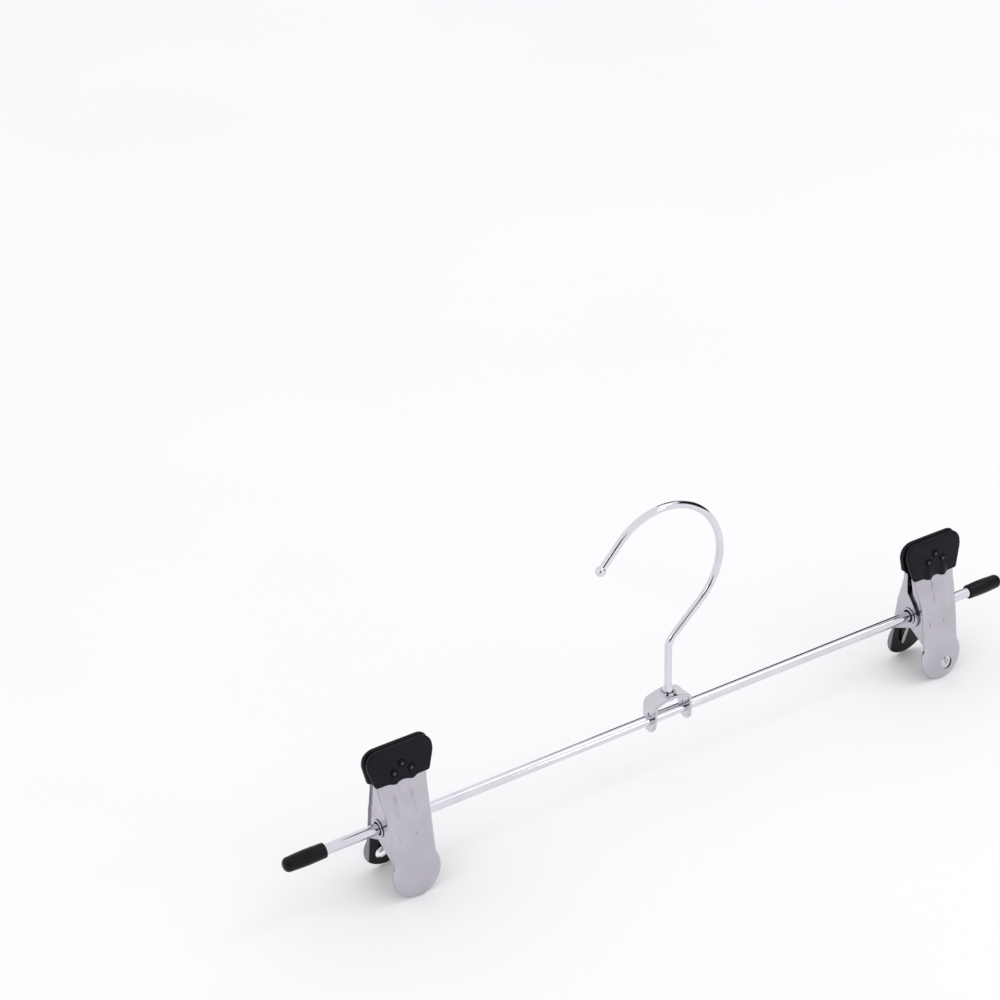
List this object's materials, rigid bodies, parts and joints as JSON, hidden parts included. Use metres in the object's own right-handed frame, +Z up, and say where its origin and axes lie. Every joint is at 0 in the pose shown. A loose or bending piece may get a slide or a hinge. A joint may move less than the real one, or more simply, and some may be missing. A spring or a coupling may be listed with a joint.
{
  "type": "skirt hanger",
  "caption": "Chromed wire clothes hanger with a straight crossbar, a swivel hook on a saddle bracket and sprung, sliding clips with padded jaws for hanging skirts or trousers by the waistband.",
  "frame": {"origin": "under the middle of the crossbar, on the surface that the clip handles stand on", "axes": "+X along the crossbar, +Z up to the hook, -Y the side the picture shows"},
  "size_m": [0.3, 0.0228, 0.1072],
  "materials": {
    "rod_chrome": "polished chrome plate on steel",
    "cap_vinyl": "glossy black vinyl",
    "saddle_chrome": "polished chrome plate on steel",
    "hook_chrome": "polished chrome plate on steel",
    "tube_chrome": "bright plated steel",
    "jaw_chrome": "polished chrome plate on pressed steel sheet",
    "pad_vinyl": "satin black vinyl",
    "spring_steel": "drawn spring wire"
  },
  "bodies": {
    "crossbar": {"crossbar_rod": "rod_chrome", "left_end_cap": "cap_vinyl", "right_end_cap": "cap_vinyl", "saddle_bracket": "saddle_chrome"},
    "hook": {"hook": "hook_chrome"},
    "left_pivot": {"left_pivot_tube": "tube_chrome"},
    "left_outer": {"left_outer_jaw": "jaw_chrome", "left_outer_pad": "pad_vinyl", "left_spring": "spring_steel"},
    "left_inner": {"left_inner_jaw": "jaw_chrome", "left_inner_pad": "pad_vinyl"},
    "right_pivot": {"right_pivot_tube": "tube_chrome"},
    "right_outer": {"right_outer_jaw": "jaw_chrome", "right_outer_pad": "pad_vinyl", "right_spring": "spring_steel"},
    "right_inner": {"right_inner_jaw": "jaw_chrome", "right_inner_pad": "pad_vinyl"}
  },
  "joints": [
    {"name": "hook_swivel", "type": "hinge", "parent": "crossbar", "child": "hook", "pos_m": [0, 0, 0.02395], "axis": [0, 0, 1], "continuous": true},
    {"name": "left_slide", "type": "slide", "parent": "crossbar", "child": "left_pivot", "axis": [1, 0, 0], "range_m": [-0.0175, 0.086]},
    {"name": "left_turn", "type": "hinge", "parent": "left_pivot", "child": "left_outer", "pos_m": [-0.1068, 0, 0.02395], "axis": [1, 0, 0], "continuous": true},
    {"name": "left_open", "type": "hinge", "parent": "left_outer", "child": "left_inner", "pos_m": [-0.1068, 0, 0.02395], "axis": [-1, 0, 0], "range_deg": [0, 32], "stiffness_Nm_per_rad": 0.12, "springref_deg": -34.38, "deforming": ["left_spring"]},
    {"name": "right_slide", "type": "slide", "parent": "crossbar", "child": "right_pivot", "axis": [1, 0, 0], "range_m": [-0.095, 0.009]},
    {"name": "right_turn", "type": "hinge", "parent": "right_pivot", "child": "right_outer", "pos_m": [0.1153, 0, 0.02395], "axis": [1, 0, 0], "continuous": true},
    {"name": "right_open", "type": "hinge", "parent": "right_outer", "child": "right_inner", "pos_m": [0.1153, 0, 0.02395], "axis": [1, 0, 0], "range_deg": [0, 32], "stiffness_Nm_per_rad": 0.12, "springref_deg": -34.38, "deforming": ["right_spring"]}
  ]
}
